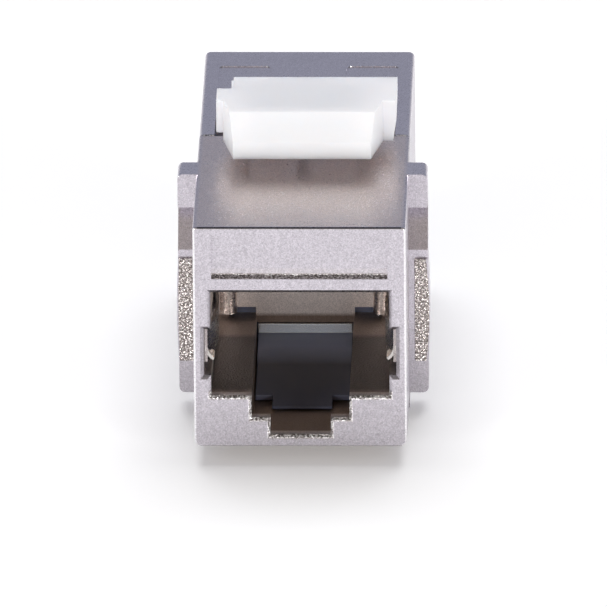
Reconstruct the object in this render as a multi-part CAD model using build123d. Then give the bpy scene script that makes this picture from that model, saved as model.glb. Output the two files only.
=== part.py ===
from build123d import *
import os
from math import cos, radians, sin

# Shielded coupler that joins two network plugs end to end and snaps into a panel opening.
# It is drawn in millimetres from the front face and the underside of the nose: x runs across,
# y is the depth behind the front face and z the height above the nose's underside.
# The last step moves each piece to the part's own frame, with its origin on the surface that
# the coupler stands on, below the middle of its length.

# Port, the same at both ends
port_width = 12.16
port_height = 7.57
port_depth = 15.1
tab_shoulder_width = 6.68
tab_shoulder_drop = 1.62
tab_slot_width = 4.12
tab_slot_drop = 1.24
spring_pocket_reach = 0.48
spring_pocket_height = 3.4
spring_pocket_rise = 1.5
spring_pocket_length = 12.5

# Walls of the two castings
face_thickness = 1.35
side_wall = 1.17
base_wall = 0.79
web_thickness = 0.6
recess_floor_wall = 0.65
recess_depth = 2.45
rail_width = 1.05
bottom_corner = 0.45
top_corner = 0.2
rear_top_corner = 0.4
rear_corner = 0.2
edge_round = 0.15
mouth_bevel = 0.24
slit_height = 0.63
slit_inset = 0.05
slit_width = 1.85
post_radius = 0.62
post_inset = 0.8

# Blank marking panel on the front face
panel_width = 12.0
panel_height = 3.03
panel_rise = 1.03
panel_sink = 0.5
panel_ramp = 0.15

# What holds the coupler in a panel
stop_depth = 10.0
heel_drop = 1.4
wing_reach = 1.3
wing_thickness = 2.3
wing_corner = 0.4
wing_notch_low = 10.5
wing_notch_high = 13.6
wing_notch_wall = 0.3
pad_low = 2.4
pad_high = 9.9
pad_bulge = 0.1
pad_raise = 0.18
pad_inset = 0.5
hook_width = 9.6
hook_front = 5.7
hook_back = 8.2
hook_tip = 0.4

# Joint between the castings
parting_lap = 0.15
pin_radius = 0.45
pin_length = 1.4
pin_inset = 2.05

# Moulded inserts, contacts and board
play = 0.05
insert_plate = 0.6
comb_width = 9.2
comb_height = 1.6
comb_roof = 0.5
tongue_front = 4.75
tongue_neck = 1.6
tongue_foot = 0.2
tongue_rise = 1.4
lip_length = 0.2
lip_height = 0.68
contact_count = 8
contact_pitch = 1.02
contact_width = 0.35
contact_thickness = 0.3
contact_bend_radius = 0.75
contact_bend_depth = 3.45
contact_tilt = 21
contact_reach = 6.7
board_thickness = 1.0
board_margin = 0.25
spring_thickness = 0.2
spring_height = 2.4
spring_arch = 0.66
spring_length = 10.2
spring_curl_length = 1.3
spring_curl_turn = 55

# Latch
latch_gap = 1.12
chin_height = 1.14
chin_lean = 0.1
brow_height = 1.83
brow_lean = 1.2
head_length = 8.05
chin_width = 9.4
cheek_flare = 0.78
ear_reach = 0.68
ear_shift = 0.22
ear_back = 3.5
left_ear_length = 2.35
left_ear_lift = 0.61
notch_width = 1.1
ear_slant = 0.23
ear_slant_height = 1.5
arm_width = 10.0
arm_drop = 1.5
arm_run = 1.2
arm_thickness = 1.5
arm_step = 0.3
arm_window_width = 3.0
core_wall = 1.1
core_depth = 1.7
core_rib = 0.9
pivot_setback = 7.05
pivot_sink = 1.35
trunnion_radius = 0.7
trunnion_length = 0.85
hub_radius = 1.0
hub_gap = 0.3
running_play = 0.05
latch_edge = 0.12

# Shallow pockets in the rear deck
pocket_margin = 2.9
pocket_inner = 2.38
pocket_lap = 0.2
pocket_slant = 0.3
pocket_sink = 0.06
pocket_corner = 0.35

# How far a cut runs past the face that it opens
overcut = 1.0

# Sizes that follow from the ones above
slot_floor = base_wall
shoulder_floor = slot_floor + tab_slot_drop
port_floor = shoulder_floor + tab_shoulder_drop
port_top = port_floor + port_height
lip_foot = slot_floor + play + tongue_foot + tongue_rise
lip_top = lip_foot + lip_height
roof_top = port_top + comb_height + 2 * play
recess_floor = roof_top + recess_floor_wall
deck = recess_floor + recess_depth
body_half = port_width / 2 + side_wall
web_back = port_depth + web_thickness
board_front = web_back + insert_plate
middle = board_front + board_thickness / 2
length = 2 * middle
parting = middle + board_thickness / 2 + parting_lap
comb_top = roof_top - play
contact_height = comb_top - comb_roof - play - contact_thickness / 2
pivot_y = parting + pivot_setback
pivot_z = deck - pivot_sink
recess_half = body_half - rail_width
recess_end = pivot_y + trunnion_radius + hub_radius


def block(x, y, z):
    """A box between two faces along each axis, given as pairs."""
    spans = (x, y, z)
    centre = [(span[0] + span[1]) / 2 for span in spans]
    size = [span[1] - span[0] for span in spans]
    return Pos(*centre) * Box(*size)


def across(half):
    """The pair of faces that lie the same distance each side of the middle."""
    return (-half, half)


def both_sides(shape):
    """A shape on the right, with its mirror image on the left."""
    return shape + mirror(shape, about=Plane.YZ)


def far_end(shape):
    """The same shape, turned round to the other end of the coupler."""
    return mirror(shape, about=Plane.XZ.offset(-middle))


def front_view(outline, start, stop):
    """A front-view outline carried back from one depth to another."""
    return extrude(Plane.XZ.offset(-start) * outline, amount=start - stop)


def side_view(points, half):
    """A side-view outline of depths and heights, carried to both sides."""
    return extrude(Plane.YZ * Polygon(*points, align=None), amount=half, both=True)


def plan_view(points, low, high):
    """A plan-view outline carried up from one height to another."""
    return extrude(Plane.XY.offset(low) * Polygon(*points, align=None), amount=high - low)


def window(half, low, high):
    """A front-view rectangle, centred across, between two heights."""
    return Pos(0, (low + high) / 2) * Rectangle(2 * half, high - low)


def body_outline(low, corner):
    """Front-view outline of the body down to a height, with its cast corners."""
    outline = window(body_half, low, deck)
    rows = outline.vertices().group_by(Axis.Y)
    outline = fillet(rows[0], bottom_corner)
    return fillet(outline.vertices().group_by(Axis.Y)[-1], corner)


def port_space():
    """What one port and its insert take out of a casting, from the mouth back to the board."""
    half = port_width / 2
    pocket_low = port_floor + spring_pocket_rise
    mouth = (
        window(half, port_floor, port_top)
        + window(half + spring_pocket_reach, pocket_low, pocket_low + spring_pocket_height)
        + window(tab_shoulder_width / 2, shoulder_floor, port_floor)
        + window(tab_slot_width / 2, slot_floor, port_floor)
    )
    comb = window(comb_width / 2 + play, port_top, roof_top)
    channel = window(tab_shoulder_width / 2, slot_floor, port_floor)
    chamber = window(half, port_floor, port_top)
    pocket = window(half + spring_pocket_reach, pocket_low, pocket_low + spring_pocket_height)
    space = front_view(mouth, 0, face_thickness)
    space += front_view(chamber + channel + comb, face_thickness, port_depth)
    space += front_view(pocket, face_thickness, spring_pocket_length)
    space -= both_sides(corner_post())
    space += front_view(comb, port_depth, web_back)
    tongue_slot = window(tab_shoulder_width / 2, slot_floor, lip_top + play)
    space += front_view(tongue_slot, port_depth, web_back)
    slit_left = tab_shoulder_width / 2 + slit_inset
    slit = block(
        (slit_left, slit_left + slit_width), (port_depth, web_back), (port_floor, port_floor + slit_height)
    )
    space += both_sides(slit)
    return space + front_view(window(half, slot_floor, roof_top), web_back, board_front)


def inner_space():
    """Everything that the two ports and the board take out of the castings."""
    space = port_space()
    half = port_width / 2 + board_margin + play
    board_room = window(half, slot_floor - board_margin - play, roof_top)
    return space + far_end(space) + front_view(board_room, board_front, parting)


def corner_post():
    """Round post that stiffens the web in the corner of a port."""
    foot = port_floor + slit_height / 2
    post = Cylinder(post_radius, port_top - foot, align=(Align.CENTER, Align.CENTER, Align.MIN))
    return Pos(port_width / 2 - post_inset, port_depth, foot) * post


def bevel_mouth(casting, face_y):
    """The small lead-in bevel round the mouth of a port."""
    face = casting.faces().filter_by(Axis.Y).sort_by(lambda f: abs(f.center().Y - face_y))[0]
    mouths = [wire for wire in face.inner_wires() if wire.bounding_box().min.Z < port_floor]
    return chamfer([edge for wire in mouths for edge in wire.edges()], mouth_bevel)


def wing():
    """Stop wing on the right side, with its sloped notch and rough pad."""
    side = body_half + wing_reach
    back = stop_depth + wing_thickness
    middle_x = (side + body_half - wing_corner) / 2
    outline = Pos(middle_x, deck / 2) * Rectangle(wing_reach + wing_corner, deck)
    outline = fillet(outline.vertices().group_by(Axis.X)[-1], wing_corner)
    plate = front_view(outline, stop_depth, back)
    ramp_end = back - wing_notch_wall
    notch_points = [
        (stop_depth, wing_notch_low),
        (ramp_end, wing_notch_high),
        (stop_depth - overcut, wing_notch_high),
        (stop_depth - overcut, wing_notch_low),
    ]
    notch = side_view(notch_points, side) & block(
        (body_half, side), (stop_depth - overcut, back), (wing_notch_low, wing_notch_high)
    )
    peak = (pad_low + 2 * pad_high) / 3
    inner = body_half + pad_inset
    rim = [
        Line((side, pad_high), (inner, pad_high)),
        Line((inner, pad_high), (inner, pad_low)),
        Line((inner, pad_low), (side, pad_low)),
        ThreePointArc((side, pad_low), (side + pad_bulge, peak), (side, pad_high)),
    ]
    pad = front_view(make_face(Curve() + rim), stop_depth - pad_raise, back)
    return plate - notch + pad


def hook():
    """Fixed tooth under the nose that hooks behind the panel's lower edge."""
    points = [
        (hook_front, base_wall / 2),
        (hook_front, 0),
        (hook_back - hook_tip, -heel_drop),
        (hook_back, -heel_drop),
        (hook_back, base_wall / 2),
    ]
    return side_view(points, hook_width / 2)


def locating_pins(radius, reach):
    """The two pins that line up the castings, or their holes."""
    height = (slot_floor - board_margin - heel_drop) / 2
    pin = Rot(90, 0, 0) * Cylinder(radius, 2 * reach)
    return both_sides(Pos(body_half - pin_inset, parting, height) * pin)


def front_housing():
    """Front casting: nose, port, stop wings, hook and blank marking panel."""
    casting = front_view(body_outline(0, top_corner), 0, parting)
    casting = fillet(casting.faces().sort_by(Axis.Y)[0].edges(), edge_round)
    casting += front_view(body_outline(-heel_drop, top_corner), stop_depth, parting)
    casting = chamfer(casting.faces().sort_by(Axis.Y)[-1].edges(), edge_round)
    casting += both_sides(wing()) + hook()
    casting -= inner_space()
    casting = bevel_mouth(casting, 0)
    panel_low = port_top + panel_rise
    panel_high = panel_low + panel_height
    recess = [
        (0, panel_low), (0, panel_high), (panel_sink, panel_high), (panel_sink, panel_low + panel_ramp),
    ]
    casting -= side_view(recess, panel_width / 2)
    return casting + (locating_pins(pin_radius, pin_length) - block(
        across(body_half), (0, parting - pin_length / 2), (-heel_drop, deck)
    ))


def rear_housing():
    """Rear casting: second port, and the recess that the latch turns in."""
    casting = front_view(body_outline(-heel_drop, rear_top_corner), parting, length)
    casting = chamfer(casting.faces().sort_by(Axis.Y)[0].edges(), edge_round)
    uprights = casting.faces().sort_by(Axis.Y)[-1].edges().filter_by(Axis.Z)
    casting = fillet(uprights, rear_corner)
    casting -= inner_space()
    casting = bevel_mouth(casting, length)
    casting -= block(across(recess_half), (parting, recess_end), (recess_floor, deck + overcut))
    casting -= both_sides(rear_pocket())
    bore_half = recess_half + trunnion_length - hub_gap + play
    bore = Rot(0, 90, 0) * Cylinder(trunnion_radius + running_play, 2 * bore_half)
    casting -= Pos(0, pivot_y, pivot_z) * bore
    return casting - locating_pins(pin_radius + play, pin_length + 2 * play)


def rear_pocket():
    """Shallow pocket in the deck behind the latch, on the right."""
    points = [
        (pocket_inner, recess_end - pocket_lap),
        (recess_half, recess_end - pocket_lap),
        (recess_half, length - pocket_margin),
        (pocket_inner + pocket_slant, length - pocket_margin),
    ]
    outline = Polygon(*points, align=None)
    outline = fillet(outline.vertices().group_by(Axis.Y)[-1], pocket_corner)
    return extrude(Plane.XY.offset(deck - pocket_sink) * outline, amount=2 * pocket_sink)


def insert():
    """Moulded insert of one port: plate behind the web, contact comb and tongue."""
    plate_half = port_width / 2 - play
    low = slot_floor + play
    plate = block(across(plate_half), (web_back, board_front), (low, comb_top))
    comb = block(
        across(comb_width / 2), (face_thickness + play, web_back), (comb_top - comb_height, comb_top)
    )
    lip_front = port_depth - lip_length
    tongue_points = [
        (tongue_front, low),
        (tongue_front, low + tongue_foot),
        (lip_front, lip_foot),
        (lip_front, lip_top),
        (web_back, lip_top),
        (web_back, low),
    ]
    tongue = side_view(tongue_points, tab_shoulder_width / 2 - 2 * play)
    neck_half = tab_slot_width / 2
    relief = block(
        (neck_half, tab_shoulder_width), (tongue_front - overcut, tongue_front + tongue_neck), (0, port_floor)
    )
    moulding = plate + comb + (tongue - both_sides(relief))
    groove_front = contact_bend_depth - contact_thickness
    groove_half = contact_width / 2 + play
    for x in contact_places():
        moulding -= block(
            (x - groove_half, x + groove_half),
            (groove_front, board_front),
            (comb_top - comb_height, comb_top - comb_roof),
        )
    return moulding


def contact_places():
    """Distances across of the contacts, from left to right."""
    first = -contact_pitch * (contact_count - 1) / 2
    return [first + contact_pitch * index for index in range(contact_count)]


def contact():
    """Spring contact: along the comb, round its bend and back down into the port."""
    tilt = radians(contact_tilt)
    radius = contact_bend_radius
    centre = Vector(contact_bend_depth + radius, contact_height - radius)
    bend_end = centre + Vector(-sin(tilt), -cos(tilt)) * radius
    tip = bend_end + Vector(cos(tilt), -sin(tilt)) * contact_reach
    top = centre + Vector(0, radius)
    path = (
        Line((board_front, contact_height), top)
        + ThreePointArc(top, centre - Vector(radius, 0), bend_end)
        + Line(bend_end, tip)
    )
    strip = trace(path, contact_thickness)
    return extrude(Plane.YZ * strip, amount=contact_width / 2, both=True)


def ground_spring():
    """Arched strip in the right side pocket that touches a plug's shield."""
    wall = port_width / 2 + spring_pocket_reach - spring_thickness / 2 - play / 2
    start = face_thickness + play
    arch = ThreePointArc(
        (wall, start), (wall - spring_arch, start + spring_length / 2), (wall, start + spring_length)
    )
    middle_z = port_floor + spring_pocket_rise + spring_pocket_height / 2
    low = middle_z - spring_height / 2
    strip = extrude(Plane.XY.offset(low) * trace(arch, spring_thickness), amount=spring_height)
    curl = JernArc((wall, middle_z), (0, -1), spring_height / 2, -spring_curl_turn)
    lip = front_view(trace(curl, spring_thickness), start, start + spring_curl_length)
    return strip + lip


def circuit_board():
    """Small board between the two inserts, which joins the contacts of both ports."""
    half = port_width / 2 + board_margin
    return block(
        across(half),
        (board_front, board_front + board_thickness),
        (slot_floor - board_margin, comb_top),
    )


def latch():
    """Moulded latch: wedge head with ears, two arms and a hub with trunnions."""
    front = stop_depth
    low = deck + latch_gap
    fold = low + chin_height
    top = fold + brow_height
    back = front + head_length
    head_side = [
        (front, low), (front + chin_lean, fold), (front + chin_lean + brow_lean, top), (back, top), (back, low),
    ]
    ear_front = front + ear_back
    left_ear_end = ear_front + left_ear_length
    chin = chin_width / 2
    shoulder = chin + cheek_flare
    right_ear = shoulder + ear_reach + ear_shift
    left_ear = -shoulder - ear_reach + ear_shift
    head_plan = [
        (-chin, front), (chin, front),
        (shoulder, ear_front), (right_ear, ear_front), (right_ear, back),
        (left_ear + notch_width, back), (left_ear + notch_width, left_ear_end),
        (left_ear, left_ear_end), (left_ear, ear_front), (-shoulder, ear_front),
    ]
    head = side_view(head_side, right_ear) & plan_view(head_plan, low, top)
    head = fillet(head.faces().sort_by(Axis.Z)[-1].edges().filter_by(Axis.X), latch_edge)
    head -= block((left_ear, -shoulder), (front, back), (low, low + left_ear_lift))
    slant = Polygon(
        (right_ear - ear_slant, low), (right_ear, low), (right_ear, low + ear_slant_height), align=None,
    )
    head -= front_view(slant, front, back)
    core = block(
        (core_rib / 2, chin - core_wall),
        (front + core_wall + brow_lean / 2, back - core_wall),
        (low, low + core_depth),
    )
    head -= both_sides(core)
    hub_top = pivot_z + hub_radius
    arm_side = [
        (back - arm_run, top - arm_drop), (back, top - arm_step), (back + arm_run, top - arm_drop),
        (pivot_y - hub_radius, hub_top), (pivot_y, hub_top), (pivot_y, pivot_z),
        (pivot_y - hub_radius - arm_step, hub_top - arm_thickness), (back + arm_step, low),
        (back - arm_run, low),
    ]
    arms = side_view(arm_side, arm_width / 2)
    arms -= block(across(arm_window_width / 2), (back, pivot_y - hub_radius), (0, 2 * deck))
    hub_half = recess_half - hub_gap
    hub = Rot(0, 90, 0) * Cylinder(hub_radius, 2 * hub_half)
    trunnions = Rot(0, 90, 0) * Cylinder(trunnion_radius, 2 * (hub_half + trunnion_length))
    return head + arms + Pos(0, pivot_y, pivot_z) * (hub + trunnions)


def write(name, shape):
    """Moves a finished piece to the part's own frame and writes it."""
    export_step(Pos(0, -middle, heel_drop) * shape, f"parts/{name}.step")


os.makedirs("parts", exist_ok=True)
write("front_housing", front_housing())
write("rear_housing", rear_housing())
write("latch", latch())
write("circuit_board", circuit_board())
write("front_insert", insert())
write("rear_insert", far_end(insert()))
for number, place in enumerate(contact_places(), start=1):
    placed = Pos(place, 0, 0) * contact()
    write(f"front_contact_{number}", placed)
    write(f"rear_contact_{number}", far_end(placed))
right_spring = ground_spring()
left_spring = mirror(right_spring, about=Plane.YZ)
write("front_ground_spring_right", right_spring)
write("front_ground_spring_left", left_spring)
write("rear_ground_spring_right", far_end(right_spring))
write("rear_ground_spring_left", far_end(left_spring))
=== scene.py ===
"""Dresses the network coupler: cast nickel shells, white latch, black inserts, gold contacts."""
import math

import bpy
from bpy.props import FloatProperty, FloatVectorProperty, PointerProperty
from mathutils import Matrix, Vector


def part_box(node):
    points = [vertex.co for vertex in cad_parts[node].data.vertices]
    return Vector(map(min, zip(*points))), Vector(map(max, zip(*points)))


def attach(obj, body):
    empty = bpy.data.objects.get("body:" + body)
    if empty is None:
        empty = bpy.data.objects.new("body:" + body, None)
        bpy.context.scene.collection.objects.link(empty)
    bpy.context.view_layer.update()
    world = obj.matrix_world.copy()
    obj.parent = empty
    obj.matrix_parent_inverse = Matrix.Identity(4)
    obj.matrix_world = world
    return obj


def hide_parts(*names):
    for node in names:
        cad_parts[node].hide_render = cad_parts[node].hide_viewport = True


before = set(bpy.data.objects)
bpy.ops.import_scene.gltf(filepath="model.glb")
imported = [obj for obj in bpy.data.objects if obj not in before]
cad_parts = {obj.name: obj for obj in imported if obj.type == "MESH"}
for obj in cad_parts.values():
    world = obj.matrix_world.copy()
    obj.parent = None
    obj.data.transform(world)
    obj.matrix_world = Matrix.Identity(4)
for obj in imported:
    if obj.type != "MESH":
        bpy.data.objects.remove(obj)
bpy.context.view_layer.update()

bl_info = {
    "name": "Network coupler finish",
    "version": (1, 0, 0),
    "blender": (4, 5, 0),
    "location": "3D View > Sidebar > Coupler",
    "description": "Finishes the pieces of a panel-mounted network coupler and sets its studio",
    "category": "Object",
}

MM = 0.001
CONTACTS = [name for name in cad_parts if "_contact_" in name]
GROUND_SPRINGS = [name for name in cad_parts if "_ground_spring_" in name]

# The front and rear faces, the millimetres between them, and the nose's underside, which hangs
# above the floor that the heel stands on
FACE_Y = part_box("front_housing")[0].y
REAR_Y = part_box("rear_housing")[1].y
LENGTH = (REAR_Y - FACE_Y) / MM
NOSE_Z = 1.4 * MM

# The photograph's width, and where it has the middle of the nose and its lower edge, in pixels
PHOTO_PIXELS = 607
NOSE_PIXEL_X, NOSE_PIXEL_Y = 299.5, 446.8

# Edges sharper than the first angle are rounded, and faces that meet at less than the second
# are shaded as one
SHARP_ANGLE = math.radians(28)
SMOOTH_ANGLE = math.radians(38)

# Parts of the castings and inserts with a finish of their own, and zones of painted shade and painted
# reflections: two corners of a box, as across, depth and height, and the width of its soft border, in
# millimetres
# Painted shade: the castings darker towards the bottom, for the floor's shadow that they reflect
FOOT_SHADE = ((-12, -5, -12), (12, LENGTH + 5, 3.0), 6.0)
# Painted reflection: a dark line along the nose's top front edge
BROW_REFLECTION = ((-6.95, -0.1, 15.935), (6.95, 0.16, 16.2), 0.04)
PORT_INSIDE = ((-6.4, 0.7, 0.4), (6.4, LENGTH - 0.7, 12.6), 0.6)
# Painted shade: dark brown on the ports' floors
PORT_FLOOR_SHADE = ((-6.4, 0.9, -1.0), (6.4, LENGTH - 0.9, 3.75), 0.3)
# Painted shade: near black on the ports' side shelves
SHELVES = ((-6.4, 1.2, 3.15), (6.4, 11.3, 4.0), 0.8)
ROUGH_SHELVES = ((-6.3, 1.0, 3.2), (6.3, 15.0, 3.9), 0.15)
# Painted reflection: a warm tone on the deck, for the latch's underside that it mirrors
DECK_REFLECTION = ((-7.0, 0.3, 15.9), (7.0, 17.4, 16.4), 0.5)
TORN_EDGES = (
    ((-6.1, 0.05, 12.22), (6.1, 0.62, 12.46), 0.08),
    ((-6.4, 0.05, 0.2), (6.4, 0.36, 4.0), 0.08),
    ((-7.5, 17.3, 15.7), (7.5, 17.6, 16.2), 0.08),
)
# Painted sheen: the tongue paler towards its end
TONGUE_SHEEN = ((-4, 11.8, 0.6), (4, 15.4, 4.0), 2.6)
# Painted reflection: a bright strip along the tongue's end
TONGUE_END_REFLECTION = ((-4, 14.4, 2.47), (4, 15.4, 4.0), 0.06)

# The wing pads: how far back and how high they reach, in millimetres
PAD_DEPTHS = (9.80, 12.28)
PAD_HEIGHTS = (2.4, 9.9)

# How much each grain changes the plate's shade, about a mean of 1
SHADE_SWINGS = (("Cloud", 0.10), ("Speckle", 0.90), ("Pebble", 0.24))
FLECK_CONTRAST = 6.0


def spot(across, depth, height):
    """A place given in millimetres: across, behind the front face, above the nose's underside."""
    return Vector((across * MM, FACE_Y + depth * MM, NOSE_Z + height * MM))


def tint_setting(name, description, colour):
    """A colour that a user can change."""
    return FloatVectorProperty(
        name=name, description=description, subtype="COLOR", size=3, min=0, max=1, default=colour,
    )


def length_setting(name, description, default, low=0.05 * MM, high=2 * MM):
    """A length in metres that a user can change, between two limits."""
    return FloatProperty(
        name=name, description=description, subtype="DISTANCE", unit="LENGTH",
        min=low, max=high, default=default,
    )


def angle_setting(name, description, degrees):
    """An angle that a user can change."""
    return FloatProperty(
        name=name, description=description, subtype="ANGLE", default=math.radians(degrees),
    )


def power_setting(name, description, watts):
    """A lamp's power that a user can change."""
    return FloatProperty(
        name=name, description=description, subtype="POWER", unit="POWER", min=0, default=watts,
    )


class CouplerFinish(bpy.types.PropertyGroup):
    """Colours and surface sizes of the coupler's materials."""

    nickel_tint: tint_setting(
        "Nickel tint", "Colour that the plated castings reflect", (0.60, 0.565, 0.61)
    )
    # Painted bounce light: a warmer tone of the plate inside the ports
    inner_bounce_tint: tint_setting(
        "Inner nickel", "Duller colour of the plate inside the ports", (0.80, 0.73, 0.70)
    )
    # Partly a painted highlight: the polished edges are brighter than the plate, so that they read as
    # bright lines
    edge_highlight_tint: tint_setting(
        "Burnished edge", "Colour of the castings' edges, where the plate is polished", (0.96, 0.94, 0.96)
    )
    latch_tint: tint_setting("Latch white", "Colour of the white moulding", (0.925, 0.905, 1.0))
    insert_tint: tint_setting("Insert black", "Colour of the black mouldings", (0.064, 0.070, 0.104))
    gold_tint: tint_setting("Contact gold", "Colour of the contacts' gold plate", (0.83, 0.60, 0.24))
    strip_tint: tint_setting("Spring strip", "Colour of the ground springs", (0.66, 0.63, 0.60))
    board_tint: tint_setting("Board green", "Colour of the circuit board's coating", (0.02, 0.12, 0.05))
    nickel_roughness: FloatProperty(
        name="Nickel roughness", description="Roughness of the plated skin",
        subtype="FACTOR", min=0, max=1, default=0.29,
    )
    edge_roughness: FloatProperty(
        name="Edge roughness", description="Roughness of the castings' polished edges",
        subtype="FACTOR", min=0, max=1, default=0.14,
    )
    grain_size: length_setting("Casting grain", "Width of the grain in the plated skin", 0.16 * MM)
    blast_size: length_setting("Blasted grain", "Width of the grain on the wings' rough pads", 0.14 * MM)
    blast_relief: length_setting(
        "Blasted relief", "Height of the grain on the wings' rough pads", 0.08 * MM, 0, MM
    )
    edge_radius: length_setting(
        "Edge radius", "Rounding of the castings' and the latch's sharp edges",
        0.09 * MM, 0.01 * MM, 0.3 * MM,
    )
    insert_edge_radius: length_setting(
        "Insert edge radius", "Rounding of the black inserts' sharp edges",
        0.05 * MM, 0.01 * MM, 0.3 * MM,
    )


class CouplerStudio(bpy.types.PropertyGroup):
    """Camera and lights of the coupler's studio."""

    camera_azimuth: angle_setting("Camera azimuth", "Turn of the camera to the coupler's right", 1.5)
    camera_elevation: angle_setting("Camera elevation", "Height of the camera above the horizon", 21.5)
    camera_roll: angle_setting("Camera roll", "Turn of the picture about the line of sight", -0.5)
    camera_distance: length_setting(
        "Camera distance", "From the lens to the front face", 1.75, 0.1, 10
    )
    picture_width: length_setting(
        "Picture width", "Width of the view at the front face", 0.04132, 0.005, 1
    )
    room_strength: FloatProperty(
        name="Room light", description="Strength of the light from all round",
        min=0, max=5, default=1.0,
    )
    back_watts: power_setting(
        "Back lamp", "Power of the lamp behind and above, which casts the shadow", 4.2
    )
    side_watts: power_setting(
        "Side lamps", "Power of each of the two lamps beside the camera", 2.8
    )
    floor_tint: tint_setting("Floor white", "Colour of the floor", (0.97, 0.97, 0.97))
    floor_glow: FloatProperty(
        name="Floor glow", description="What the eye and mirrors see added to the floor",
        min=0, max=1, default=0.14,
    )


def select_only(piece):
    """Leaves one object selected and active."""
    bpy.ops.object.select_all(action="DESELECT")
    piece.select_set(True)
    bpy.context.view_layer.objects.active = piece


def apply_modifiers(piece):
    """Applies every modifier of a piece, in order."""
    select_only(piece)
    for modifier in list(piece.modifiers):
        bpy.ops.object.modifier_apply(modifier=modifier.name)


def merged_copy(node, name):
    """A copy of a node's mesh with its loose triangles merged into clean faces."""
    piece = bpy.data.objects.new(name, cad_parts[node].data.copy())
    bpy.context.scene.collection.objects.link(piece)
    select_only(piece)
    bpy.ops.object.mode_set(mode="EDIT")
    bpy.ops.mesh.select_all(action="SELECT")
    bpy.ops.mesh.customdata_custom_splitnormals_clear()
    bpy.ops.mesh.remove_doubles(threshold=1e-6)
    bpy.ops.mesh.dissolve_limited(angle_limit=math.radians(0.5))
    bpy.ops.mesh.normals_make_consistent(inside=False)
    bpy.ops.object.mode_set(mode="OBJECT")
    piece.data.materials.clear()
    return piece


def face_width(mesh, face):
    """Rough width of a face: its area over its longest side."""
    corners = [mesh.vertices[index].co for index in face.vertices]
    following = corners[1:] + corners[:1]
    longest = max((first - second).length for first, second in zip(corners, following))
    return face.area / longest


def is_edge_strip(mesh, face):
    """Whether a face is a narrow strip along an upright edge or round a corner."""
    widest_strip, level, square_on, tilted = 0.12 * MM, 0.3, 0.995, 0.2
    across, along, up = (abs(part) for part in face.normal)
    upright_edge = up < level and max(across, along) < square_on
    corner = min(across, along, up) > tilted
    return (upright_edge or corner) and face_width(mesh, face) < widest_strip


def round_edges(piece, radius, slot=0):
    """Rounds a piece's sharp edges into a material slot, and shades them smooth between flat faces."""
    bevel = piece.modifiers.new("rounded_edges", "BEVEL")
    bevel.material = slot
    bevel.width = radius
    bevel.segments = 3
    bevel.limit_method = "ANGLE"
    bevel.angle_limit = SHARP_ANGLE
    bevel.miter_outer = "MITER_ARC"
    apply_modifiers(piece)
    for face in piece.data.polygons:
        if is_edge_strip(piece.data, face):
            face.material_index = slot
    select_only(piece)
    bpy.ops.object.shade_smooth_by_angle(angle=SMOOTH_ANGLE)
    flatten = piece.modifiers.new("flat_faces", "WEIGHTED_NORMAL")
    flatten.keep_sharp = True
    flatten.weight = 100
    apply_modifiers(piece)


def dress(piece, materials, body, slot, *nodes):
    """Gives a finished piece its materials and its body, and hides the nodes that it stands for."""
    for material in materials:
        piece.data.materials.append(material)
    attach(piece, body)
    if nodes:
        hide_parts(*nodes)


def new_group(name, inputs, outputs):
    """An empty shader node group with named sockets."""
    group = bpy.data.node_groups.new(name, "ShaderNodeTree")
    for label, kind in inputs:
        group.interface.new_socket(label, in_out="INPUT", socket_type=kind)
    for label in outputs:
        group.interface.new_socket(label, in_out="OUTPUT", socket_type="NodeSocketFloat")
    return group, group.nodes.new("NodeGroupInput"), group.nodes.new("NodeGroupOutput")


def math_node(tree, operation, first, second=None, third=None, clamp=False):
    """A math node whose inputs are sockets or plain numbers."""
    node = tree.nodes.new("ShaderNodeMath")
    node.operation = operation
    node.use_clamp = clamp
    for index, value in enumerate((first, second, third)):
        if value is None:
            continue
        if isinstance(value, (int, float)):
            node.inputs[index].default_value = value
        else:
            tree.links.new(value, node.inputs[index])
    return node.outputs[0]


def scaled(tree, value, factor, offset, clamp=False):
    """A value times a factor, plus an offset."""
    return math_node(tree, "MULTIPLY_ADD", value, factor, offset, clamp)


def vector_node(tree, operation, *values):
    """A vector math node whose inputs are sockets."""
    node = tree.nodes.new("ShaderNodeVectorMath")
    node.operation = operation
    for index, value in enumerate(values):
        tree.links.new(value, node.inputs[index])
    return node.outputs[0]


def mix_colour(tree, factor, first, second, blend="MIX"):
    """A colour mix whose inputs are sockets or plain colours."""
    node = tree.nodes.new("ShaderNodeMix")
    node.data_type = "RGBA"
    node.blend_type = blend
    for socket, value in ((node.inputs[0], factor), (node.inputs[6], first), (node.inputs[7], second)):
        if isinstance(value, bpy.types.NodeSocket):
            tree.links.new(value, socket)
        elif isinstance(value, (int, float)):
            socket.default_value = value
        else:
            socket.default_value = (*value[:3], 1)
    return node.outputs[2]


def zone_group():
    """Group that gives 1 inside a box and 0 outside, with a soft border."""
    name = "zone"
    if name in bpy.data.node_groups:
        return bpy.data.node_groups[name]
    group, source, result = new_group(
        name,
        [("Vector", "NodeSocketVector"), ("Centre", "NodeSocketVector"),
         ("Half Size", "NodeSocketVector"), ("Border", "NodeSocketFloat")],
        ["Mask"],
    )
    offset = vector_node(group, "SUBTRACT", source.outputs["Vector"], source.outputs["Centre"])
    distance = vector_node(group, "ABSOLUTE", offset)
    inside = vector_node(group, "SUBTRACT", source.outputs["Half Size"], distance)
    parts = group.nodes.new("ShaderNodeSeparateXYZ")
    group.links.new(inside, parts.inputs[0])
    least = math_node(group, "MINIMUM", parts.outputs[0], parts.outputs[1])
    least = math_node(group, "MINIMUM", least, parts.outputs[2])
    share = math_node(group, "DIVIDE", least, source.outputs["Border"])
    mask = math_node(group, "ADD", share, 0.5, clamp=True)
    group.links.new(mask, result.inputs["Mask"])
    return group


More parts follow.
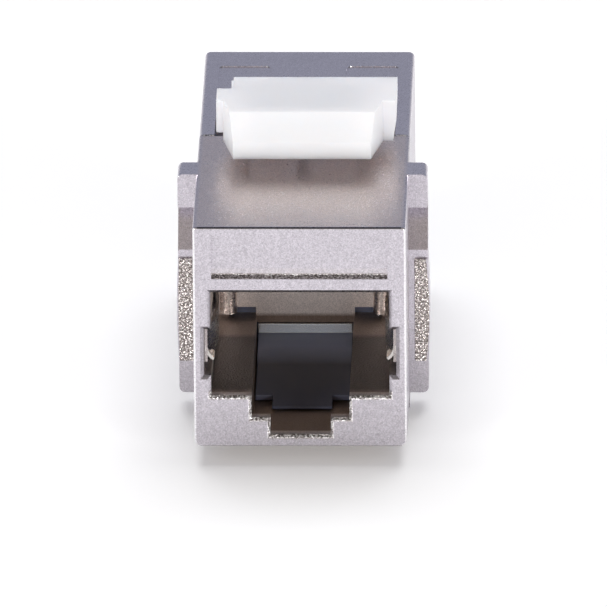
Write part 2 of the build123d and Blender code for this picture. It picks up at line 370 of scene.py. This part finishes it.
def grain_group():
    """Group that gives a skin's grain at four sizes: a height, a speckle, a pebble and a cloud."""
    name = "skin_grain"
    if name in bpy.data.node_groups:
        return bpy.data.node_groups[name]
    # How fine each grain is beside the grain size, and its detail
    grains = (("Height", 1.0, 2.0), ("Speckle", 1.9, 1.0), ("Pebble", 0.6, 1.0), ("Cloud", 0.06, 2.0))
    group, source, result = new_group(
        name,
        [("Vector", "NodeSocketVector"), ("Grain Size", "NodeSocketFloat")],
        [label for label, fineness, detail in grains],
    )
    scale = math_node(group, "DIVIDE", 1.0, source.outputs["Grain Size"])
    for label, fineness, detail in grains:
        noise = group.nodes.new("ShaderNodeTexNoise")
        noise.inputs["Detail"].default_value = detail
        noise.inputs["Roughness"].default_value = 0.55
        group.links.new(math_node(group, "MULTIPLY", scale, fineness), noise.inputs["Scale"])
        group.links.new(source.outputs["Vector"], noise.inputs["Vector"])
        group.links.new(noise.outputs[0], result.inputs[label])
    return group


def place_group(tree, group, **values):
    """Places a node group with its inputs set to numbers, vectors or sockets."""
    node = tree.nodes.new("ShaderNodeGroup")
    node.node_tree = group
    for label, value in values.items():
        socket = node.inputs[label.replace("_", " ")]
        if isinstance(value, bpy.types.NodeSocket):
            tree.links.new(value, socket)
        else:
            socket.default_value = value
    return node


def new_material(name):
    """A material with its shader and its object coordinates."""
    material = bpy.data.materials.new(name)
    material.use_nodes = True
    tree = material.node_tree
    coordinates = tree.nodes.new("ShaderNodeTexCoord")
    return material, tree, tree.nodes["Principled BSDF"], coordinates.outputs["Object"]


def bump(tree, shader, height, distance, strength=1.0):
    """Feeds a height to the shader's normal, as relief of a real depth."""
    node = tree.nodes.new("ShaderNodeBump")
    node.inputs["Distance"].default_value = distance
    node.inputs["Strength"].default_value = strength
    tree.links.new(height, node.inputs["Height"])
    tree.links.new(node.outputs[0], shader.inputs["Normal"])


def zone_mask(tree, vector, low, high, border):
    """Mask of the box between two spots, each given as across, depth and height."""
    low, high = spot(*low), spot(*high)
    node = place_group(
        tree, zone_group(), Vector=vector, Centre=(low + high) / 2, Half_Size=(high - low) / 2,
        Border=border * MM,
    )
    return node.outputs["Mask"]


def mask_in_both_ports(tree, vector, low, high, border):
    """Mask of a box in the front port and of the same box in the rear port."""
    rear_low = (low[0], LENGTH - high[1], low[2])
    rear_high = (high[0], LENGTH - low[1], high[2])
    return math_node(
        tree, "MAXIMUM",
        zone_mask(tree, vector, low, high, border),
        zone_mask(tree, vector, rear_low, rear_high, border),
    )


def nickel_material(name, tint, roughness):
    """Satin nickel plate over a zinc casting, duller inside the ports and rough in places, with shade and
    reflections painted into its colour in places.
    """
    finish = bpy.context.scene.coupler_finish
    material, tree, shader, vector = new_material(name)
    grain = place_group(tree, grain_group(), Vector=vector, Grain_Size=finish.grain_size)
    blast = place_group(tree, grain_group(), Vector=vector, Grain_Size=finish.blast_size)
    torn = zone_mask(tree, vector, *TORN_EDGES[0])
    for edge in TORN_EDGES[1:]:
        torn = math_node(tree, "MAXIMUM", torn, zone_mask(tree, vector, *edge))
    fleck = scaled(tree, blast.outputs["Height"], FLECK_CONTRAST, -2.6, clamp=True)
    sparkle = mix_colour(tree, fleck, (0.20, 0.18, 0.17), (1.0, 0.97, 0.97))

    # The plate's colour, zone over zone: painted shade on the foot and on the ports' floors and shelves,
    # painted reflections along the brow edge and on the deck, a warmer painted tone inside the ports,
    # and flecks along the torn edges
    inside = zone_mask(tree, vector, *PORT_INSIDE)
    plate = tint
    for mask, colour in (
        # painted shade, darker towards the bottom, for the reflected floor shadow
        (zone_mask(tree, vector, *FOOT_SHADE), [part * 0.84 for part in tint]),
        # painted reflection, a dark line along the nose's top front edge
        (zone_mask(tree, vector, *BROW_REFLECTION), (0.10, 0.10, 0.12)),
        # painted bounce light, a warmer tone inside the ports
        (inside, finish.inner_bounce_tint),
        # painted shade on the ports' floors
        (zone_mask(tree, vector, *PORT_FLOOR_SHADE), (0.27, 0.205, 0.17)),
        # painted shade on the ports' side shelves
        (zone_mask(tree, vector, *SHELVES), (0.12, 0.105, 0.10)),
        # painted reflection of the latch's underside on the deck
        (zone_mask(tree, vector, *DECK_REFLECTION), (0.70, 0.60, 0.555)),
        (torn, sparkle),
    ):
        plate = mix_colour(tree, mask, plate, colour)
    shade = 1.0
    for label, swing in SHADE_SWINGS:
        shade = math_node(tree, "MULTIPLY", shade, scaled(tree, grain.outputs[label], swing, 1 - swing / 2))
    tree.links.new(mix_colour(tree, 1.0, plate, shade, "MULTIPLY"), shader.inputs["Base Color"])

    # The skin is duller inside the ports, and coarse where it is torn and on the ports' shelves
    shader.inputs["Metallic"].default_value = 1.0
    spread, dulling = 0.12, 0.14
    base = scaled(tree, grain.outputs["Height"], spread, roughness - spread / 2)
    tree.links.new(scaled(tree, inside, dulling, base), shader.inputs["Roughness"])
    rough = math_node(tree, "MAXIMUM", zone_mask(tree, vector, *ROUGH_SHELVES), torn)
    fine = math_node(tree, "MULTIPLY", grain.outputs["Height"], 0.03)
    coarse = math_node(tree, "MULTIPLY", blast.outputs["Height"], rough)
    bump(tree, shader, math_node(tree, "ADD", fine, coarse), distance=0.1 * MM)
    return material


def blasted_material():
    """Nickel plate over the coarse skin of the stop wings' pads."""
    finish = bpy.context.scene.coupler_finish
    material, tree, shader, vector = new_material("blasted_nickel")
    grain = place_group(tree, grain_group(), Vector=vector, Grain_Size=finish.blast_size)
    fleck = scaled(tree, grain.outputs["Height"], FLECK_CONTRAST, -2.85, clamp=True)
    colour = mix_colour(tree, fleck, (0.21, 0.185, 0.17), (1.0, 0.95, 0.91))
    tree.links.new(colour, shader.inputs["Base Color"])
    shader.inputs["Metallic"].default_value = 1.0
    tree.links.new(scaled(tree, grain.outputs["Height"], 0.2, 0.12), shader.inputs["Roughness"])
    bump(tree, shader, grain.outputs["Speckle"], distance=0.06 * MM)
    return material


def moulded_material(name, tint, roughness, grain_size, relief):
    """Moulded plastic with a fine skin and a faint change of shade."""
    material, tree, shader, vector = new_material(name)
    grain = place_group(tree, grain_group(), Vector=vector, Grain_Size=grain_size)
    colour = mix_colour(tree, grain.outputs["Cloud"], [part * 0.97 for part in tint], tint)
    tree.links.new(colour, shader.inputs["Base Color"])
    share = scaled(tree, grain.outputs["Height"], 0.1, roughness - 0.05)
    tree.links.new(share, shader.inputs["Roughness"])
    bump(tree, shader, grain.outputs["Height"], relief, strength=0.5)
    return material


def latch_material():
    """White moulding that light soaks into."""
    material = moulded_material(
        "white_moulding", bpy.context.scene.coupler_finish.latch_tint, roughness=0.42,
        grain_size=0.4 * MM, relief=0.004 * MM,
    )
    shader = material.node_tree.nodes["Principled BSDF"]
    shader.inputs["Subsurface Weight"].default_value = 1.0
    shader.inputs["Subsurface Radius"].default_value = (1.0, 0.90, 0.84)
    shader.inputs["Subsurface Scale"].default_value = 3.5 * MM
    return material


def insert_material():
    """Black moulding, paler along the tongue as a painted sheen, and with a bright painted reflection on a
    partly metallic strip at the tongue's end.
    """
    material = moulded_material(
        "black_moulding", bpy.context.scene.coupler_finish.insert_tint, roughness=0.24,
        grain_size=0.3 * MM, relief=0.008 * MM,
    )
    tree = material.node_tree
    shader = tree.nodes["Principled BSDF"]
    vector = tree.nodes["Texture Coordinate"].outputs["Object"]
    black = shader.inputs["Base Color"].links[0].from_socket
    # Painted sheen along the tongue, and a painted reflection along its end, at both ports
    tongue_sheen = mask_in_both_ports(tree, vector, *TONGUE_SHEEN)
    end_reflection = mask_in_both_ports(tree, vector, *TONGUE_END_REFLECTION)
    grey = mix_colour(tree, tongue_sheen, black, (0.30, 0.35, 0.52))
    # The painted reflection at the tongue's end is pale blue and partly metallic
    tree.links.new(mix_colour(tree, end_reflection, grey, (0.86, 0.93, 1.0)), shader.inputs["Base Color"])
    tree.links.new(math_node(tree, "MULTIPLY", end_reflection, 0.8), shader.inputs["Metallic"])
    return material


def plated_material(name, tint, roughness):
    """Rolled and plated strip or wire, with faint drawing marks along it."""
    material, tree, shader, vector = new_material(name)
    stretch = tree.nodes.new("ShaderNodeMapping")
    stretch.inputs["Scale"].default_value = (1, 0.06, 1)
    tree.links.new(vector, stretch.inputs["Vector"])
    grain = place_group(tree, grain_group(), Vector=stretch.outputs[0], Grain_Size=0.08 * MM)
    colour = mix_colour(tree, grain.outputs["Height"], [part * 0.88 for part in tint], tint)
    tree.links.new(colour, shader.inputs["Base Color"])
    shader.inputs["Metallic"].default_value = 1.0
    share = scaled(tree, grain.outputs["Height"], 0.15, roughness - 0.07)
    tree.links.new(share, shader.inputs["Roughness"])
    bump(tree, shader, grain.outputs["Height"], distance=0.004 * MM, strength=0.4)
    return material


def paint_node(node, material):
    """Gives every slot of a CAD node one material."""
    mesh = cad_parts[node].data
    if not mesh.materials:
        mesh.materials.append(material)
    for index in range(len(mesh.materials)):
        mesh.materials[index] = material


class COUPLER_OT_shells(bpy.types.Operator):
    """Finish the two nickel-plated castings"""

    bl_idname = "coupler.shells"
    bl_label = "Nickel shells"

    def execute(self, context):
        finish = context.scene.coupler_finish
        skins = (
            # The second skin, on the rounded edges, is polished, and its brighter colour is partly a
            # painted highlight
            nickel_material("nickel_plate", finish.nickel_tint, finish.nickel_roughness),
            nickel_material("burnished_highlight_edge", finish.edge_highlight_tint, finish.edge_roughness),
        )
        for node, name in (("front_housing", "front_shell"), ("rear_housing", "rear_shell")):
            shell = merged_copy(node, name)
            round_edges(shell, finish.edge_radius, slot=1)
            dress(shell, skins, "housing", "nickel_casting", node)
        return {"FINISHED"}


class COUPLER_OT_pads(bpy.types.Operator):
    """Lay the coarse blasted skin over the pads of the two stop wings"""

    bl_idname = "coupler.pads"
    bl_label = "Rough pads"

    def execute(self, context):
        finish = context.scene.coupler_finish
        blasted = blasted_material()
        grain = bpy.data.textures.new("pad_grain", "CLOUDS")
        grain.noise_scale = finish.blast_size
        grain.noise_depth = 2
        for name, side, inner, outer, bulge in (
            ("pad_skin_left", -1, 7.36, 8.52, 0.04),
            ("pad_skin_right", 1, 7.62, 8.42, 0.22),
        ):
            skin = self.block(name, side, inner, outer, bulge)
            self.roughen(skin, grain, finish.blast_relief)
            dress(skin, [blasted], "housing", "nickel_casting")
        return {"FINISHED"}

    def block(self, name, side, inner, outer, bulge):
        """A block over one pad, from its inner to its outer side, which swells by the bulge."""
        low = spot(inner, PAD_DEPTHS[0], PAD_HEIGHTS[0])
        high = spot(outer, PAD_DEPTHS[1], PAD_HEIGHTS[1])
        middle, size = (low + high) / 2, high - low
        bpy.ops.object.select_all(action="DESELECT")
        bpy.ops.mesh.primitive_cube_add(size=1, location=(side * middle.x, middle.y, middle.z))
        piece = bpy.context.object
        piece.name = name
        piece.scale = size
        bpy.ops.object.transform_apply(location=True, rotation=True, scale=True)
        bpy.ops.object.mode_set(mode="EDIT")
        bpy.ops.mesh.select_all(action="SELECT")
        bpy.ops.mesh.subdivide(number_cuts=7)
        bpy.ops.object.mode_set(mode="OBJECT")
        for vertex in piece.data.vertices:
            outward = (abs(vertex.co.x) - low.x) / size.x
            along = (vertex.co.z - middle.z) / (size.z / 2)
            vertex.co.x += side * bulge * MM * outward * (1 - along ** 2)
        return piece

    def roughen(self, skin, grain, relief):
        """Remeshes a block finely and raises its grain."""
        remesh = skin.modifiers.new("fine_mesh", "REMESH")
        remesh.mode = "VOXEL"
        remesh.voxel_size = 0.05 * MM
        raised = skin.modifiers.new("raised_grain", "DISPLACE")
        raised.texture = grain
        raised.texture_coords = "LOCAL"
        raised.strength = relief
        apply_modifiers(skin)
        select_only(skin)
        bpy.ops.object.shade_smooth()


class COUPLER_OT_latch(bpy.types.Operator):
    """Finish the white latch"""

    bl_idname = "coupler.latch"
    bl_label = "White latch"

    def execute(self, context):
        white = latch_material()
        moulding = merged_copy("latch", "latch_moulding")
        round_edges(moulding, context.scene.coupler_finish.edge_radius)
        dress(moulding, [white], "latch", "white_moulding", "latch")
        return {"FINISHED"}


class COUPLER_OT_inserts(bpy.types.Operator):
    """Finish the black inserts of both ports"""

    bl_idname = "coupler.inserts"
    bl_label = "Black inserts"

    def execute(self, context):
        black = insert_material()
        for end in ("front", "rear"):
            insert = merged_copy(f"{end}_insert", f"{end}_insert_moulding")
            round_edges(insert, context.scene.coupler_finish.insert_edge_radius)
            dress(insert, [black], "housing", "black_moulding", f"{end}_insert")
        return {"FINISHED"}


class COUPLER_OT_metal_strips(bpy.types.Operator):
    """Finish the gold contacts, the ground springs and the board"""

    bl_idname = "coupler.metal_strips"
    bl_label = "Contacts, springs and board"

    def execute(self, context):
        finish = context.scene.coupler_finish
        gold = plated_material("gold_plate", finish.gold_tint, roughness=0.2)
        strip = plated_material("spring_strip", finish.strip_tint, roughness=0.26)
        board = moulded_material(
            "board_laminate", finish.board_tint, roughness=0.35,
            grain_size=0.3 * MM, relief=0.003 * MM,
        )
        for node in CONTACTS:
            paint_node(node, gold)
        for node in GROUND_SPRINGS:
            paint_node(node, strip)
        paint_node("circuit_board", board)
        return {"FINISHED"}


class COUPLER_OT_stage(bpy.types.Operator):
    """Set the floor, the room light, the lamps and the camera"""

    bl_idname = "coupler.stage"
    bl_label = "Studio"

    def execute(self, context):
        studio = context.scene.coupler_studio
        self.floor(studio)
        self.room(studio)
        self.lamps(studio)
        self.camera(studio)
        context.scene.view_settings.view_transform = "Standard"
        return {"FINISHED"}

    def floor(self, studio):
        """A wide pale floor, just under the heel, that reads as white to the eye and in mirrors."""
        bpy.ops.object.select_all(action="DESELECT")
        bpy.ops.mesh.primitive_plane_add(size=6)
        floor = bpy.context.object
        floor.name = "studio_floor"
        floor.location.z = -0.02 * MM
        material = bpy.data.materials.new("studio_floor")
        material.use_nodes = True
        tree = material.node_tree
        shader = tree.nodes["Principled BSDF"]
        shader.inputs["Base Color"].default_value = (*studio.floor_tint, 1)
        shader.inputs["Roughness"].default_value = 1.0
        shader.inputs["Specular IOR Level"].default_value = 0.0
        shader.inputs["Emission Color"].default_value = (1, 1, 1, 1)
        paths = tree.nodes.new("ShaderNodeLightPath")
        seen = math_node(tree, "ADD", paths.outputs["Is Camera Ray"], paths.outputs["Is Glossy Ray"])
        seen = math_node(tree, "ADD", seen, paths.outputs["Is Transmission Ray"], clamp=True)
        glow = math_node(tree, "MULTIPLY", seen, studio.floor_glow)
        tree.links.new(glow, shader.inputs["Emission Strength"])
        floor.data.materials.append(material)

    def room(self, studio):
        """A studio that is warm in front of the object, dim overhead and cool behind it."""
        world = bpy.data.worlds.new("studio_room")
        bpy.context.scene.world = world
        world.use_nodes = True
        tree = world.node_tree
        background = tree.nodes["Background"]
        coordinates = tree.nodes.new("ShaderNodeTexCoord")
        parts = tree.nodes.new("ShaderNodeSeparateXYZ")
        tree.links.new(coordinates.outputs["Generated"], parts.inputs[0])
        ramp = tree.nodes.new("ShaderNodeValToRGB")
        stops = ramp.color_ramp.elements
        stops.remove(stops[1])
        stops[0].color = (0.52, 0.49, 0.47, 1)
        for place, colour in (
            (0.14, (0.62, 0.56, 0.51, 1)),
            (0.20, (0.28, 0.26, 0.25, 1)),
            (0.32, (0.17, 0.165, 0.165, 1)),
            (0.62, (0.18, 0.18, 0.195, 1)),
            (0.78, (0.40, 0.42, 0.50, 1)),
            (1.0, (0.385, 0.405, 0.49, 1)),
        ):
            stops.new(place).color = colour
        tree.links.new(scaled(tree, parts.outputs["Y"], 0.5, 0.5, clamp=True), ramp.inputs[0])
        paths = tree.nodes.new("ShaderNodeLightPath")
        seen = mix_colour(tree, paths.outputs["Is Camera Ray"], ramp.outputs[0], (1, 1, 1))
        tree.links.new(seen, background.inputs["Color"])
        background.inputs["Strength"].default_value = studio.room_strength

    def lamps(self, studio):
        """One lamp behind and above, and one on each side of the camera, all aimed at the coupler."""
        middle = Vector((0, 0, 8 * MM))
        distance = 0.8
        for name, azimuth, elevation, size, watts, mirrored in (
            ("back_softbox", 178, 74, 0.6, studio.back_watts, False),
            ("left_softbox", -38, 8, 0.16, studio.side_watts, True),
            ("right_softbox", 38, 8, 0.16, studio.side_watts, True),
        ):
            lamp = bpy.data.lights.new(name, "AREA")
            lamp.size = size
            lamp.energy = watts
            holder = bpy.data.objects.new(name, lamp)
            holder.visible_glossy = mirrored
            bpy.context.scene.collection.objects.link(holder)
            out = self.direction(math.radians(azimuth), math.radians(elevation))
            holder.location = middle + out * distance
            holder.rotation_euler = out.to_track_quat("Z", "Y").to_euler()

    def direction(self, azimuth, elevation):
        """The way out from the object at an azimuth from the front and an elevation."""
        return Vector((
            math.sin(azimuth) * math.cos(elevation),
            -math.cos(azimuth) * math.cos(elevation),
            math.sin(elevation),
        ))

    def camera(self, studio):
        """Places the camera so that the front face falls where the photograph has it."""
        back = self.direction(studio.camera_azimuth, studio.camera_elevation)
        scale = studio.picture_width / PHOTO_PIXELS
        aim = Vector((
            (PHOTO_PIXELS / 2 - NOSE_PIXEL_X) * scale,
            FACE_Y,
            NOSE_Z + (NOSE_PIXEL_Y - PHOTO_PIXELS / 2) * scale / math.cos(studio.camera_elevation),
        ))
        camera = bpy.data.cameras.new("photo_camera")
        camera.sensor_width = 36
        camera.lens = camera.sensor_width * studio.camera_distance / studio.picture_width
        camera.clip_start, camera.clip_end = 0.05, 10
        holder = bpy.data.objects.new("photo_camera", camera)
        bpy.context.scene.collection.objects.link(holder)
        holder.location = aim + back * studio.camera_distance
        turn = back.to_track_quat("Z", "Y").to_matrix().to_4x4()
        holder.rotation_euler = (turn @ Matrix.Rotation(studio.camera_roll, 4, "Z")).to_euler()
        bpy.context.scene.camera = holder


class COUPLER_PT_finish(bpy.types.Panel):
    """Lists the coupler's finishes and the buttons that build them."""

    bl_idname = "COUPLER_PT_finish"
    bl_label = "Network coupler"
    bl_space_type = "VIEW_3D"
    bl_region_type = "UI"
    bl_category = "Coupler"

    def draw(self, context):
        for settings in (context.scene.coupler_finish, context.scene.coupler_studio):
            for label in settings.bl_rna.properties.keys():
                if label not in ("rna_type", "name"):
                    self.layout.prop(settings, label)
        for operator in OPERATORS:
            self.layout.operator(operator.bl_idname)


OPERATORS = (
    COUPLER_OT_shells,
    COUPLER_OT_pads,
    COUPLER_OT_latch,
    COUPLER_OT_inserts,
    COUPLER_OT_metal_strips,
    COUPLER_OT_stage,
)
CLASSES = (CouplerFinish, CouplerStudio, *OPERATORS, COUPLER_PT_finish)


def register():
    for cls in CLASSES:
        bpy.utils.register_class(cls)
    bpy.types.Scene.coupler_finish = PointerProperty(type=CouplerFinish)
    bpy.types.Scene.coupler_studio = PointerProperty(type=CouplerStudio)


def unregister():
    del bpy.types.Scene.coupler_studio
    del bpy.types.Scene.coupler_finish
    for cls in reversed(CLASSES):
        bpy.utils.unregister_class(cls)


def main():
    """Builds the finished coupler."""
    register()
    bpy.ops.coupler.shells()
    bpy.ops.coupler.pads()
    bpy.ops.coupler.latch()
    bpy.ops.coupler.inserts()
    bpy.ops.coupler.metal_strips()
    bpy.ops.coupler.stage()


if __name__ == "__main__":
    main()
